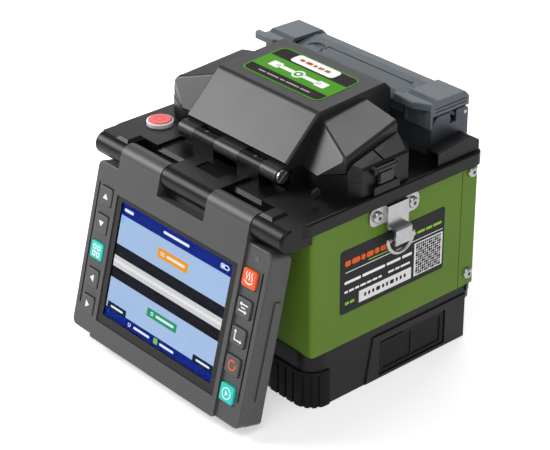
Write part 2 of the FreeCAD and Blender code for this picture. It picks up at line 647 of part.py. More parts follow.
def splice_housing():
    right = [
        (38.3, -39.8), (38.3, -34.0), (50.0, -35.4), (64.6, -29.2), (69.5, -24.5), (69.5, 5.5), (66.0, 9.0),
        (38.3, 11.0), (38.3, 26.0),
    ]
    outline = right + [(-x, y) for x, y in reversed(right)]
    housing = prism("z", outline, CAP_TOP, 113.0)
    lip = box(69.0, 72.0, -19.0, -2.4, 105.6, 109.6).cut(box(69.5, 71.4, -16.4, -5.4, 106.6, 110.0))
    lip = rounded(lip, 1.2, "x", lambda c: c.z > 109.5 and (c.y < -18.9 or c.y > -2.5))
    lugs = [box(69.0, 72.1, y0, y1, 116.3, 119.3) for y0, y1 in ((-19.2, -17.2), (-4.4, -3.0))]
    pieces = [side_block(), wing_wall(), lip] + lugs
    housing = housing.fuse(pieces + [mirrored(piece) for piece in pieces])
    housing = housing.cut(box(-33.0, 33.0, -32.0, 20.0, 100.0, 114.0))
    latch_gap = box(69.5, 75.0, -17.2, -4.4, 114.0, 120.0)
    fibre_slot = box(50.0, 75.0, FIBRE_Y - 0.6, FIBRE_Y + 0.6, FIBRE_Z - 0.6, 130.0)
    bore = Part.makeCylinder(0.8, 20.0, V(71.0, -21.0, 117.8), V(0, 1, 0))
    cuts = [latch_gap, fibre_slot, bore]
    return housing.cut(cuts + [mirrored(cut) for cut in cuts])


def side_latch():
    """Spring clip hanging from its bar, with its tail behind the keeper lip."""
    bar = Part.makeCylinder(1.3, 12.2, V(71.0, -16.9, 117.8), V(0, 1, 0))
    stubs = Part.makeCylinder(0.75, 15.4, V(71.0, -18.6, 117.8), V(0, 1, 0))
    tongue = slab(70.3, 71.1, -15.6, -6.2, 110.0, 117.8, 0.6, "x")
    pad = slab(70.3, 72.0, -15.2, -6.6, 110.6, 116.0, 0.8, "x")
    return bar.fuse([stubs, tongue, pad])


def splice_bed():
    """Machined bed: two blocks either side of the camera slot, with ears for the clamp pins."""
    plate = box(-27.5, 27.5, -24.0, 14.0, 86.0, 89.0)
    block = box(5.0, 27.5, -24.0, 14.0, 88.5, 116.0)
    block = block.cut(box(10.0, 24.0, -20.0, 10.0, 88.0, 108.0))
    ears = [box(x0, x1, 0.4, 5.6, 115.0, 123.6) for x0, x1 in ((13.2, 16.0), (25.2, 27.5))]
    rest = box(16.6, 24.6, -15.0, -5.0, 115.0, FIBRE_Z - 0.4)
    half = block.fuse(ears + [rest])
    bed = plate.fuse([half, mirrored(half)])
    return bed.cut(rod_x(-30.0, 30.0, *CLAMP_AXIS, 1.0 + RUNNING))


def v_groove_blocks():
    block = box(6.0, 13.0, -14.0, -6.0, 116.0, FIBRE_Z - 0.1)
    vee = [(FIBRE_Y - 0.5, FIBRE_Z), (FIBRE_Y + 0.5, FIBRE_Z), (FIBRE_Y, FIBRE_Z - 0.6)]
    return both(block.cut(prism("x", vee, 5.0, 14.0)))


def clamp_arm(x0, x1, reach, thick, pad_depth):
    """Hinged clamp over the fibre line, swinging on the rear pin."""
    arm = box(x0, x1, FIBRE_Y - reach, 3.0, FIBRE_Z + 0.5, FIBRE_Z + 0.5 + thick)
    arm = arm.fuse(rod_x(x0, x1, *CLAMP_AXIS, 2.2))
    pad_z = FIBRE_Z + 0.5 - pad_depth
    arm = arm.fuse(box(x0 + 0.6, x1 - 0.6, FIBRE_Y - 2.0, FIBRE_Y + 2.0, pad_z, FIBRE_Z + 1.0))
    return arm.cut(rod_x(x0 - 1, x1 + 1, *CLAMP_AXIS, 1.0 + RUNNING))


def fibre_clamp():
    return clamp_arm(8.6, 12.9, 2.8, 2.4, 0.3)


def sheath_clamp():
    return clamp_arm(16.4, 24.8, 4.0, 3.4, 0.3)


def electrodes():
    """Two pointed tungsten rods facing each other across the fibre line."""
    tips = []
    for side in (-1, 1):
        start = V(0, FIBRE_Y + side * 13.5, FIBRE_Z)
        shank = Part.makeCylinder(0.6, 10.5, start, V(0, -side, 0))
        point = Part.makeCone(0.6, 0.1, 2.0, start + V(0, -side * 10.5, 0), V(0, -side, 0))
        tips.append(shank.fuse(point))
    return group(*tips)


def electrode_holders():
    holders = []
    for y0, y1 in ((-24.0, -18.0), (-1.6, 4.4)):
        holder = box(-7.4, 7.4, y0, y1, 116.0, 123.2)
        holder = holder.cut(Part.makeCylinder(0.64, 12.0, V(0, y0 - 3, FIBRE_Z), V(0, 1, 0)))
        holders.append(holder)
    return group(*holders)


def camera_modules():
    """Objective barrel and sensor housing for each of the two viewing directions."""
    modules = []
    for side in (-1, 1):
        way = V(0, side * math.sin(math.pi / 4), -math.cos(math.pi / 4))
        focus = V(0, FIBRE_Y, FIBRE_Z)
        barrel = Part.makeCylinder(3.6, 10.0, focus + way * 15.5, way)
        barrel = barrel.cut(Part.makeCylinder(2.4, 1.5, focus + way * 15.4, way))
        body = Part.makeCylinder(4.4, 5.0, focus + way * 25.5, way)
        modules.append(barrel.fuse(body))
    return group(*modules)


def circuit_boards():
    """Main board with its chips, and the arc discharge board with its transformer."""
    board = box(-60.0, 60.0, -48.0, 48.0, 72.0, 73.6)
    parts = [box(-12.0, 12.0, -12.0, 12.0, 73.6, 75.6), box(24.0, 50.0, -30.0, -18.0, 73.6, 76.0),
             box(-50.0, -30.0, 10.0, 40.0, 73.6, 80.0), box(20.0, 44.0, 10.0, 36.0, 64.0, 72.0)]
    arc = box(-60.0, -8.0, -46.0, -6.0, 46.0, 47.6)
    arc = arc.fuse([rod_z(-44.0, -26.0, 47.6, 62.0, 9.0), box(-28.0, -14.0, -38.0, -16.0, 47.6, 60.0)])
    return group(board.fuse(parts), arc)


def feed_motors():
    motor = rod_x(30.0, 52.0, FIBRE_Y, 95.0, 5.5).fuse(rod_x(28.2, 30.0, FIBRE_Y, 95.0, 2.0))
    return both(motor)


def rear_guards():
    """Sloped guard beside the heater, with a blind recess in its front end."""
    outline = [(25.5, CAP_TOP), (25.5, 112.0), (47.0, 115.0), (54.0, 110.6), (54.0, CAP_TOP)]
    guard = prism("x", outline, 62.2, 70.0)
    guard = softened(guard, 0.6, lambda c: c.z > 110.0 and 30.0 < c.y < 53.0)
    return both(guard.cut(box(63.0, 69.2, 20.0, 33.0, 105.6, 111.4)))


# ------------------------------------------------------------------ tube heater
def heater_housing():
    outline = [
        (HEATER_FRONT, CAP_TOP), (HEATER_BACK, CAP_TOP), (HEATER_BACK, HEATER_TOP), (34.6, HEATER_TOP),
        (HEATER_FRONT, 121.0),
    ]
    housing = prism("x", outline, -HEATER_X, HEATER_X)
    housing = rounded(housing, 2.2, "x", lambda c: c.y > 55.0 and c.z > 120.0)
    inside = HEATER_X - 1.6
    housing = housing.cut(box(-inside, inside, 38.0, 50.0, 112.0, 130.0))
    housing = housing.cut(box(-inside, inside, 50.0, 60.0, 119.4, 130.0))
    housing = housing.cut(box(-57.5, 57.5, 33.0, 53.5, 104.0, 110.0))
    cable_slot = box(57.0, 61.0, 43.2, 47.6, 119.0, 130.0)
    housing = housing.cut([cable_slot, mirrored(cable_slot)])
    housing = housing.cut(rod_x(-inside, inside, *HEATER_AXIS, 4.0))
    return housing.cut(rod_x(-61.0, 61.0, *HEATER_AXIS, 1.0 + RUNNING))


def heater_plate():
    plate = box(-55.0, 55.0, 38.4, 49.6, 112.0, 118.0)
    return plate.cut(box(-60.0, 60.0, 40.0, 48.0, 113.4, 120.0))


def heater_lid():
    y, z = HEATER_AXIS
    outline = [
        (55.9, z), (55.9, 128.6), (52.6, 132.2), (47.0, 132.8), (32.6, 131.0), (29.4, 128.6), (29.4, 122.7),
        (30.9, 122.7), (30.9, 127.8), (33.2, 129.4), (47.0, 131.0), (51.6, 130.5), (54.2, 127.8), (54.2, z),
    ]
    lid = prism("x", outline, -LID_X, LID_X)
    lid = lid.fuse([rod_x(-LID_X, LID_X, y, z, 2.3), box(-LID_X, LID_X, 28.6, 30.0, 127.0, 128.4)])
    lid = lid.cut(rod_x(-50.0, 50.0, y, z, 1.0 + RUNNING))
    groove = slab(-26.0, 34.0, 41.6, 42.6, 131.6, 135.0, 0.45)
    crossing = slab(-26.0, -25.2, 35.2, 42.4, 131.0, 135.0, 0.3)
    scoop = rod_z(-31.0, 37.0, 131.2, 135.0, 5.6).cut(box(-40.0, -20.0, 30.0, 37.0, 130.0, 136.0))
    ramp = prism("x", [(37.0, 131.0), (37.0, 132.0), (41.0, 131.0)], -35.0, -27.0)
    return lid.cut([groove, crossing, rod_z(34.0, 42.1, 131.6, 135.0, 1.1), scoop.cut(ramp)])


def finger_lip(x):
    """Lip along the front of an end clamp; it starts at X = x, just past the clamp's left end."""
    outline = [
        (x, 29.0), (x, 26.2), (x + 1.0, 25.4), (x + 14.5, 25.4), (x + 22.7, 29.4), (x + 22.7, 31.0),
        (x + LIP_REACH, 31.0), (x + LIP_REACH, 29.0),
    ]
    lip = prism("z", outline, 129.7, 133.2)
    return softened(lip, 0.8, lambda c: c.y < 27.5 and c.z > 133.1)


def heater_clamp(side):
    """End clamp of the heater, on the lid's pin; side is 1 for the right end and -1 for the left."""
    y, z = HEATER_AXIS
    x0, x1 = CLAMP_X
    outline = [
        (55.9, z), (55.9, 130.4), (52.8, CLAMP_TOP - 0.4), (34.0, CLAMP_TOP), (29.4, 131.6), (29.4, 119.6),
        (30.0, 119.6), (30.9, 124.0), (30.9, 130.0), (34.6, 132.2), (51.6, 132.0), (54.2, 129.8), (54.2, z),
    ]
    clamp = prism("x", outline, x0, x1)
    outside = [(y, z) for y, z in outline if z > 130.3 and (y > 52.5 or y < 34.2)]
    clamp = rounded(clamp, 1.6, "x", lambda c: any(math.hypot(c.y - y, c.z - z) < 0.01 for y, z in outside))
    clamp = clamp.fuse(rod_x(x0, x1 - 2.0, y, z, 2.3))
    end_outline = [(31.0, 126.0), (31.0, 130.4), (34.6, 132.6), (51.8, 132.4), (54.5, 129.6), (54.5, 126.0)]
    end = prism("x", end_outline, x1 - 1.6, x1)
    ribs = [box(x, x + 1.2, 28.8, 29.6, 120.4, 128.4) for x in (x0 + 0.8, x1 - 3.2)]
    pad = box(45.0, 56.0, 41.8, 46.2, 119.0, 132.6)
    clamp = clamp.fuse([end, pad] + ribs)
    steps = [box(x1 - 0.5, x1 + 1, 32.2, 54.0, level, level + 0.6) for level in (127.6, 129.4)]
    clamp = clamp.cut(steps + [box(58.3, 61.0, 50.0, 60.0, 118.0, 125.6)])
    clamp = clamp.cut(rod_x(40.0, 62.0, y, z, 1.0 + RUNNING))
    if side > 0:
        return clamp.fuse(finger_lip(x0 - LIP_REACH))
    return mirrored(clamp).fuse(finger_lip(-x1 - LIP_REACH))


# ------------------------------------------------------------------ all nodes
KEY_NAMES = {
    -1: ["key_up", "key_down", "key_menu", "key_left", "key_right"],
    1: ["key_heat", "key_swap", "key_axes", "key_reset", "key_start"],
}


def nodes():
    made = {}
    for build in (
        base_tray, corner_bumpers, tripod_insert, case_wrap, rear_panel, rear_ports, chassis, case_screws,
        strap_brackets, side_label, battery_case, battery_cells, top_cap, screen_hinge_shafts,
        power_button_ring, power_button_lens, screen_bezel, screen_rear_cover, screen_cover_screws,
        screen_glass, lcd_module, screen_board, status_led, hood_shell, hood_label, hood_lamps,
        hinge_posts, hinge_pins, splice_housing, splice_bed, v_groove_blocks, electrodes,
        electrode_holders, camera_modules, circuit_boards, feed_motors, rear_guards,
        heater_housing, heater_plate, heater_lid,
    ):
        made[build.__name__] = build()
    for column, names in KEY_NAMES.items():
        for row, name in enumerate(names):
            made[name] = key(column, row)
    for build in (d_ring, side_latch, fibre_clamp, sheath_clamp):
        shape = build()
        made[build.__name__ + "_right"] = shape
        made[build.__name__ + "_left"] = mirrored(shape)
    made["heater_clamp_right"] = heater_clamp(1)
    made["heater_clamp_left"] = heater_clamp(-1)
    return made


os.makedirs("parts", exist_ok=True)
for node_name, node_shape in nodes().items():
    node_shape.exportStep("parts/" + node_name + ".step")
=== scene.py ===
import json
import math

import bmesh
import bpy
from mathutils import Matrix, Vector


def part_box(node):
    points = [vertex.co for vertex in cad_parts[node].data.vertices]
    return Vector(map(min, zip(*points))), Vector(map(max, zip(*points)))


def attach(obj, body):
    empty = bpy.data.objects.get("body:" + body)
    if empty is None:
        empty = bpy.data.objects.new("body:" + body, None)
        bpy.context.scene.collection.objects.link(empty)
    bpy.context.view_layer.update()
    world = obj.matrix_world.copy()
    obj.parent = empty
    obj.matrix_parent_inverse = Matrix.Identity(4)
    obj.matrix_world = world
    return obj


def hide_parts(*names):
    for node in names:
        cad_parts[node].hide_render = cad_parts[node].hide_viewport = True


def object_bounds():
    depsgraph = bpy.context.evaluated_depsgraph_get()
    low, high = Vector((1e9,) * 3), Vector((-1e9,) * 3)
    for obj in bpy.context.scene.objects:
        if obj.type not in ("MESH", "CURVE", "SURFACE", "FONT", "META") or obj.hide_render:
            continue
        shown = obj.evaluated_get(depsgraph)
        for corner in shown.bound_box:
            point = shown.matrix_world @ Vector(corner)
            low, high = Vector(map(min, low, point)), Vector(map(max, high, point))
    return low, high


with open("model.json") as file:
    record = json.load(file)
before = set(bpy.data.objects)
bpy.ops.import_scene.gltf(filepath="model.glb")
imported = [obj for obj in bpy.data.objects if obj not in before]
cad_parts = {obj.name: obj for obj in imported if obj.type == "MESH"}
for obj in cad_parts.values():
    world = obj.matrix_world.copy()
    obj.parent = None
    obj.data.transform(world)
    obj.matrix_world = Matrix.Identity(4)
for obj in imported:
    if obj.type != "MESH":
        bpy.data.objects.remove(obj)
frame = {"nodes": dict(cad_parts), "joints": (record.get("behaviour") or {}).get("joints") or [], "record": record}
CAD_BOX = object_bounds()
NODES = frame["nodes"]
SLOT_OF = {part["node"]: part["material_slot"] for part in frame["record"]["subparts"]}
MM = 0.001

# ------------------------------------------------------------------ places, worked out from the frame
SCREEN_TILT = math.radians(14.68)        # lean of the screen away from vertical
KEY_COLUMN = 54.8                        # mm from the screen's middle to a column of keys
KEY_FIRST, KEY_PITCH = 23.7, 14.65       # mm down from the hinge to the first key, and from key to key
KEY_FACE = 6.2                           # mm the key caps stand out from the screen's hinge plane
MARK_SIZE = 1.22                         # enlargement of the key symbols
LCD_FACE = 4.3                           # mm the display's front stands out from the same plane
PIN_SLOT_ANGLE = 38.0                    # turn of the slot in the hood pin's head
PIN_HEAD_RADIUS = 3.1
LOWER_BAND_Y, UPPER_BAND_Y = -7.6, 5.0   # inner edges of the hood label's two dark bands
FIELD_BELOW_RING = 2.6                   # drop from the power button's ring to the field on the middle barrel
CAMERA_PLACE = (0.63594, -0.57679, 0.52375)
CAMERA_TURN = (61.305, 0.17, 48.585)     # degrees about x, y and z
CAMERA_LENS = 125.35
WORLD_STRENGTH = 0.26
HOOD_SLOPE = math.atan2(2.4, 43.9)       # rise of the hood's top towards the back


def joint(name):
    return next(j for j in frame["joints"] if j["name"] == name)


def facing(origin, across, up):
    """Matrix of a drawing plane: x runs across, y up, z out of the surface."""
    x, y = Vector(across).normalized(), Vector(up).normalized()
    z = x.cross(y)
    turn = Matrix((x, y, z)).transposed().to_4x4()
    return Matrix.Translation(Vector(origin)) @ turn


def screen_plane():
    """Across the screen, up it, and out of its face; its origin is the middle of the hinge."""
    origin = Vector(joint("screen_tilt")["pos_m"])
    up = (0.0, math.sin(SCREEN_TILT), math.cos(SCREEN_TILT))
    return facing((0.0, origin.y, origin.z), (1, 0, 0), up)


def box_middle(node):
    low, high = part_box(node)
    return (low + high) / 2


SCREEN = screen_plane()
SIDE = facing((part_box("side_label")[0].x, 0, 0), (0, 1, 0), (0, 0, 1))


# ------------------------------------------------------------------ material nodes
def add(tree, kind, inputs=None, **settings):
    """A shader node with its settings and inputs; an input is a plain value or another node's socket."""
    made = tree.nodes.new("ShaderNode" + kind)
    for key, value in settings.items():
        setattr(made, key, value)
    for key, value in (inputs or {}).items():
        if isinstance(value, bpy.types.NodeSocket):
            tree.links.new(value, made.inputs[key])
        else:
            made.inputs[key].default_value = value
    return made


def blank(name):
    material = bpy.data.materials.new(name)
    material.use_nodes = True
    material.node_tree.nodes.clear()
    return material, material.node_tree


def rgb(red, green, blue):
    """Linear colour, with alpha, of a colour given as 0 to 255 on screen."""
    def linear(c):
        c /= 255
        return c / 12.92 if c <= 0.04045 else ((c + 0.055) / 1.055) ** 2.4
    return (linear(red), linear(green), linear(blue), 1.0)


def scaled(colour, factor):
    return (*[min(1.0, c * factor) for c in colour[:3]], 1.0)


def noise(tree, size_mm, detail=2.0, stretch=None):
    """Noise whose blotches are about size_mm across, longer along the axes that stretch makes small."""
    place = add(tree, "TexCoord").outputs["Object"]
    if stretch:
        place = add(tree, "Mapping", {"Vector": place, "Scale": stretch}).outputs[0]
    made = add(tree, "TexNoise", {"Vector": place, "Scale": 1 / (size_mm * MM), "Detail": detail})
    return made.outputs[0]


def spread(tree, value, low, high, start=0.3, end=0.7):
    made = add(tree, "MapRange", {"Value": value, 1: start, 2: end, 3: low, 4: high})
    return made.outputs[0]


def blend(tree, factor, first, second):
    made = add(tree, "Mix", data_type="RGBA")
    for index, value in ((0, factor), (6, first), (7, second)):
        if isinstance(value, bpy.types.NodeSocket):
            tree.links.new(value, made.inputs[index])
        else:
            made.inputs[index].default_value = value
    return made.outputs[2]


def edge_mask(tree, reach_mm, low, high):
    """1 on the edges and 0 on the flats, from how far a rounded normal turns away from the true one."""
    soft = add(tree, "Bevel", {"Radius": reach_mm * MM}, samples=4).outputs[0]
    true = add(tree, "NewGeometry").outputs["Normal"]
    turned = add(tree, "VectorMath", {0: soft, 1: true}, operation="DOT_PRODUCT").outputs["Value"]
    return spread(tree, turned, high, low, 0.90, 0.995)


def finish(material, tree, inputs):
    shader = add(tree, "BsdfPrincipled", inputs)
    tree.links.new(shader.outputs[0], add(tree, "OutputMaterial").inputs[0])
    return material


def moulded(name, colour, rough, grain_mm=0.35, depth_mm=0.015, wear_and_edge_highlight=0.3, specular=0.5, coat=0.0):
    """Moulded plastic: spark-eroded grain, slight flow mottling, corners polished by handling and lighter in
    colour, partly wear and partly a painted edge highlight.
    """
    material, tree = blank(name)
    flow = noise(tree, 22.0, 3.0)
    grain = noise(tree, grain_mm, 3.0)
    tone = blend(tree, spread(tree, flow, 0.0, 1.0), scaled(colour, 0.94), scaled(colour, 1.06))
    tone = blend(tree, spread(tree, grain, 0.0, 0.3), tone, scaled(colour, 1.3))
    shine = spread(tree, flow, rough - 0.015, rough + 0.015)
    if wear_and_edge_highlight:
        # corners painted lighter: partly handling wear, partly a painted highlight along the edges
        mask = edge_mask(tree, 0.5, 0.0, wear_and_edge_highlight)
        tone = blend(tree, mask, tone, scaled(colour, 2.6))
        polish = add(tree, "Math", {0: mask, 1: 0.25}, operation="MULTIPLY").outputs[0]
        shine = add(tree, "Math", {0: shine, 1: polish}, operation="SUBTRACT").outputs[0]
    bump = add(tree, "Bump", {"Height": grain, "Distance": depth_mm * MM, "Strength": 0.5})
    return finish(material, tree, {
        "Base Color": tone, "Roughness": shine, "Normal": bump.outputs[0],
        "Specular IOR Level": specular, "Coat Weight": coat, "Coat Roughness": 0.2,
    })


def painted(name, colour, rough):
    """Powder coat: fine orange peel, faint cloudiness, and a lighter line on the corners, partly rubbed wear and
    partly a painted edge highlight.
    """
    material, tree = blank(name)
    cloud = noise(tree, 30.0, 2.0)
    peel = noise(tree, 0.6, 2.0)
    tone = blend(tree, spread(tree, cloud, 0.0, 1.0), scaled(colour, 0.95), scaled(colour, 1.05))
    # corners painted lighter: partly rubbed wear, partly a painted highlight along the edges
    tone = blend(tree, edge_mask(tree, 0.6, 0.0, 0.45), tone, scaled(colour, 1.35))
    bump = add(tree, "Bump", {"Height": peel, "Distance": 0.012 * MM, "Strength": 0.5})
    return finish(material, tree, {
        "Base Color": tone, "Roughness": spread(tree, peel, rough - 0.04, rough + 0.06),
        "Normal": bump.outputs[0], "Specular IOR Level": 0.2,
    })


def metal(name, colour, rough, streak=(1.0, 1.0, 1.0), streak_mm=0.5, depth_mm=0.002, metallic=1.0):
    """Metal with machining or rolling streaks along one axis, and fine handling marks."""
    material, tree = blank(name)
    lines = noise(tree, streak_mm, 3.0, streak)
    marks = noise(tree, 6.0, 4.0)
    tone = blend(tree, spread(tree, lines, 0.0, 1.0), scaled(colour, 0.82), scaled(colour, 1.08))
    tone = blend(tree, spread(tree, marks, 0.0, 0.4), tone, scaled(colour, 0.8))
    bump = add(tree, "Bump", {"Height": lines, "Distance": depth_mm * MM, "Strength": 0.5})
    return finish(material, tree, {
        "Base Color": tone, "Metallic": metallic,
        "Roughness": spread(tree, marks, rough - 0.07, rough + 0.09), "Normal": bump.outputs[0],
    })


def rubber(name, colour):
    """Moulded rubber: open pores, a little dust, and paler edges, partly wear and partly a painted highlight."""
    material, tree = blank(name)
    dust = noise(tree, 5.0, 4.0)
    pores = noise(tree, 0.25, 2.0)
    tone = blend(tree, spread(tree, dust, 0.0, 0.5), colour, scaled(colour, 1.5))
    # edges painted paler: partly wear, partly a painted highlight along the edges
    tone = blend(tree, edge_mask(tree, 0.6, 0.0, 0.5), tone, scaled(colour, 1.9))
    bump = add(tree, "Bump", {"Height": pores, "Distance": 0.03 * MM, "Strength": 0.7})
    return finish(material, tree, {
        "Base Color": tone, "Roughness": spread(tree, pores, 0.62, 0.8), "Normal": bump.outputs[0],
        "Specular IOR Level": 0.15,
    })


def smoked(name, colour):
    """Smoke-tinted clear polycarbonate with light rub marks and faint moulding ripples."""
    material, tree = blank(name)
    rub = noise(tree, 3.0, 3.0, (0.25, 1.0, 1.0))
    ripple = noise(tree, 18.0, 1.0)
    tone = blend(tree, spread(tree, rub, 0.0, 1.0), scaled(colour, 0.9), scaled(colour, 1.1))
    bump = add(tree, "Bump", {"Height": ripple, "Distance": 0.02 * MM, "Strength": 0.2})
    return finish(material, tree, {
        "Base Color": tone, "Roughness": spread(tree, rub, 0.30, 0.34), "Normal": bump.outputs[0],
        "Transmission Weight": 0.25, "IOR": 1.5, "Specular IOR Level": 0.35,
    })


def clear(name, colour, rough, transmission, index):
    """Clear or lightly tinted moulding, a little uneven in roughness; index is its refractive index."""
    material, tree = blank(name)
    smear = noise(tree, 9.0, 3.0)
    tone = blend(tree, spread(tree, smear, 0.0, 1.0), scaled(colour, 0.97), colour)
    return finish(material, tree, {
        "Base Color": tone, "Roughness": spread(tree, smear, rough, rough * 1.3),
        "Transmission Weight": transmission, "IOR": index, "Specular IOR Level": 0.3,
    })


def printed(name, colour, rough=0.45, dots=0.05, specular=0.06):
    """Printed film: half-tone dots that vary the ink, under a satin laminate."""
    material, tree = blank(name)
    place = add(tree, "TexCoord").outputs["Object"]
    cells = add(tree, "TexVoronoi", {"Vector": place, "Scale": 1 / (0.3 * MM)}).outputs["Distance"]
    sheen = noise(tree, 4.0, 3.0)
    inked = spread(tree, cells, 0.0, 1.0, 0.1, 0.6)
    tone = blend(tree, inked, scaled(colour, 1 - dots), scaled(colour, 1 + dots))
    bump = add(tree, "Bump", {"Height": sheen, "Distance": 0.01 * MM, "Strength": 0.3})
    return finish(material, tree, {
        "Base Color": tone, "Roughness": spread(tree, sheen, rough - 0.05, rough + 0.05),
        "Normal": bump.outputs[0], "Specular IOR Level": specular,
    })


def lit(name, colour, strength=1.0, fade=0.02):
    """A lit area of the display, with its pixel rows and a slight unevenness of the backlight."""
    material, tree = blank(name)
    place = add(tree, "TexCoord").outputs["Object"]
    waves = add(tree, "TexWave", {"Vector": place, "Scale": 1 / (0.8 * MM)}, bands_direction="X")
    rows = waves.outputs["Fac"]
    glow = noise(tree, 60.0, 1.0)
    tone = blend(tree, spread(tree, glow, 0.0, 1.0), scaled(colour, 1 - fade), scaled(colour, 1 + fade))
    tone = blend(tree, spread(tree, rows, 0.0, 0.04, 0.0, 1.0), tone, scaled(colour, 0.7))
    return finish(material, tree, {
        "Base Color": (0.003, 0.003, 0.004, 1.0), "Roughness": spread(tree, glow, 0.5, 0.6),
        "Specular IOR Level": 0.0, "Emission Color": tone, "Emission Strength": strength,
    })


def circuit(name):
    """Solder mask over copper tracks, with tinned pads."""
    material, tree = blank(name)
    place = add(tree, "TexCoord").outputs["Object"]
    tracks = add(tree, "TexBrick", {
        "Vector": place, "Scale": 1 / (9 * MM), "Mortar Size": 0.03, "Color1": (1, 1, 1, 1),
        "Color2": (1, 1, 1, 1), "Mortar": (0, 0, 0, 1),
    }).outputs["Color"]
    pads = add(tree, "TexVoronoi", {"Vector": place, "Scale": 1 / (4 * MM)}).outputs["Distance"]
    mask, copper, tin = rgb(18, 78, 44), rgb(38, 116, 62), rgb(196, 196, 186)
    tone = blend(tree, tracks, copper, mask)
    tone = blend(tree, spread(tree, pads, 1.0, 0.0, 0.12, 0.16), tone, tin)
    return finish(material, tree, {"Base Color": tone, "Roughness": spread(tree, pads, 0.25, 0.45)})


PAINTS = {
    "case_black": lambda n: moulded(n, rgb(12, 12, 13), 0.36, specular=0.23),
    "hood_black": lambda n: moulded(n, rgb(32, 32, 33), 0.38, grain_mm=0.3, specular=0.42),
    "housing_black": lambda n: moulded(n, rgb(18, 18, 19), 0.42, specular=0.26),
    "screen_grey": lambda n: moulded(n, rgb(66, 66, 67), 0.42, grain_mm=0.3, specular=0.4),
    "battery_black": lambda n: moulded(n, rgb(17, 17, 18), 0.5, specular=0.15),
    "key_grey": lambda n: moulded(n, rgb(66, 67, 68), 0.45, grain_mm=0.2, depth_mm=0.01),
    "key_teal": lambda n: moulded(
        n, rgb(40, 190, 175), 0.42, grain_mm=0.2, depth_mm=0.01, wear_and_edge_highlight=0.1, specular=0.2),
    "key_orange": lambda n: moulded(
        n, rgb(226, 90, 44), 0.42, grain_mm=0.2, depth_mm=0.01, wear_and_edge_highlight=0.1, specular=0.2),
    "button_white": lambda n: moulded(n, rgb(215, 215, 212), 0.35, grain_mm=0.4, depth_mm=0.004, wear_and_edge_highlight=0.0),
    "button_red": lambda n: moulded(
        n, rgb(226, 96, 98), 0.35, grain_mm=0.4, depth_mm=0.004, wear_and_edge_highlight=0.0, specular=0.3),
    "ceramic": lambda n: moulded(n, rgb(226, 222, 212), 0.45, grain_mm=0.2, depth_mm=0.006, wear_and_edge_highlight=0.0),
    "lens_black": lambda n: moulded(n, rgb(24, 24, 26), 0.28, grain_mm=0.6, depth_mm=0.004, coat=0.4),
    "bumper_rubber": lambda n: rubber(n, rgb(17, 17, 17)),
    "green_paint": lambda n: painted(n, rgb(90, 122, 30), 0.44),
    "heater_slate": lambda n: metal(n, rgb(80, 84, 92), 0.45, (0.2, 1.0, 1.0), 0.5, metallic=0.5),
    "steel": lambda n: metal(n, rgb(184, 184, 184), 0.3, (1.0, 0.3, 1.0), 0.4, 0.001),
    "chassis_aluminium": lambda n: metal(n, rgb(196, 198, 200), 0.36, (0.15, 1.0, 1.0), 0.4),
    "brass": lambda n: metal(n, rgb(208, 172, 96), 0.3, (1.0, 1.0, 0.2), 0.4),
    "tungsten": lambda n: metal(n, rgb(150, 150, 156), 0.3, (1.0, 0.2, 1.0), 0.2),
    "cell_foil": lambda n: metal(n, rgb(150, 164, 178), 0.32, (0.3, 1.0, 1.0), 1.5, 0.03),
    "smoke_clear": lambda n: smoked(n, rgb(90, 98, 104)),
    "screen_glass": lambda n: clear(n, rgb(250, 252, 253), 0.002, 1.0, 1.06),
    "lamp_clear": lambda n: clear(n, rgb(92, 95, 98), 0.12, 0.3, 1.5),
    "label_film": lambda n: printed(n, rgb(46, 46, 48)),
    "hood_film": lambda n: printed(n, rgb(70, 142, 28)),
    "circuit": circuit,
    "ink_white": lambda n: printed(n, rgb(236, 236, 234)),
    "ink_grey": lambda n: printed(n, rgb(168, 166, 164)),
    "ink_black": lambda n: printed(n, rgb(34, 27, 26)),
    "ink_lime": lambda n: printed(n, rgb(140, 190, 50)),
    "ink_orange": lambda n: printed(n, rgb(226, 96, 38)),
    "ink_rose": lambda n: printed(n, rgb(206, 84, 88)),
    "ink_strip": lambda n: printed(n, rgb(222, 222, 220)),
    "pixel_navy": lambda n: lit(n, rgb(6, 34, 132)),
    "pixel_sky": lambda n: lit(n, rgb(170, 196, 232)),
    "pixel_black": lambda n: lit(n, rgb(24, 24, 32)),
    "pixel_fibre": lambda n: lit(n, rgb(212, 212, 214)),
    "pixel_core": lambda n: lit(n, rgb(236, 236, 236)),
    "pixel_orange": lambda n: lit(n, rgb(244, 160, 20)),
    "pixel_green": lambda n: lit(n, rgb(24, 156, 106)),
    "pixel_lime": lambda n: lit(n, rgb(132, 196, 48)),
    "pixel_slate": lambda n: lit(n, rgb(12, 36, 62)),
    "pixel_white": lambda n: lit(n, rgb(236, 240, 248)),
    "pixel_blue": lambda n: lit(n, rgb(128, 190, 255)),
    "mask_black": lambda n: printed(n, rgb(44, 43, 43), 0.2, 0.03, 0.1),
    "patch_black": lambda n: printed(n, rgb(14, 14, 15), 0.6, 0.1, 0.05),
    "pin_black": lambda n: metal(n, rgb(40, 40, 42), 0.3, (1.0, 0.3, 1.0), 0.4, metallic=0.8),
}
MADE = {}


def paint(name):
    """The material of one of the record's slots or of one of the inks, made once."""
    if name not in MADE:
        MADE[name] = PAINTS[name](name)
    return MADE[name]


# ------------------------------------------------------------------ flat shapes
def rounded_box(x0, x1, y0, y1, radius, steps=6):
    """Outline of a rectangle with round corners, anticlockwise."""
    if radius <= 0:
        return [(x0, y0), (x1, y0), (x1, y1), (x0, y1)]
    outline = []
    left, right, front, back = x0 + radius, x1 - radius, y0 + radius, y1 - radius
    corners = ((right, front), (right, back), (left, back), (left, front))
    for quarter, (x, y) in enumerate(corners):
        for i in range(steps + 1):
            angle = math.radians(-90 + 90 * quarter + 90 * i / steps)
            outline.append((x + radius * math.cos(angle), y + radius * math.sin(angle)))
    return outline


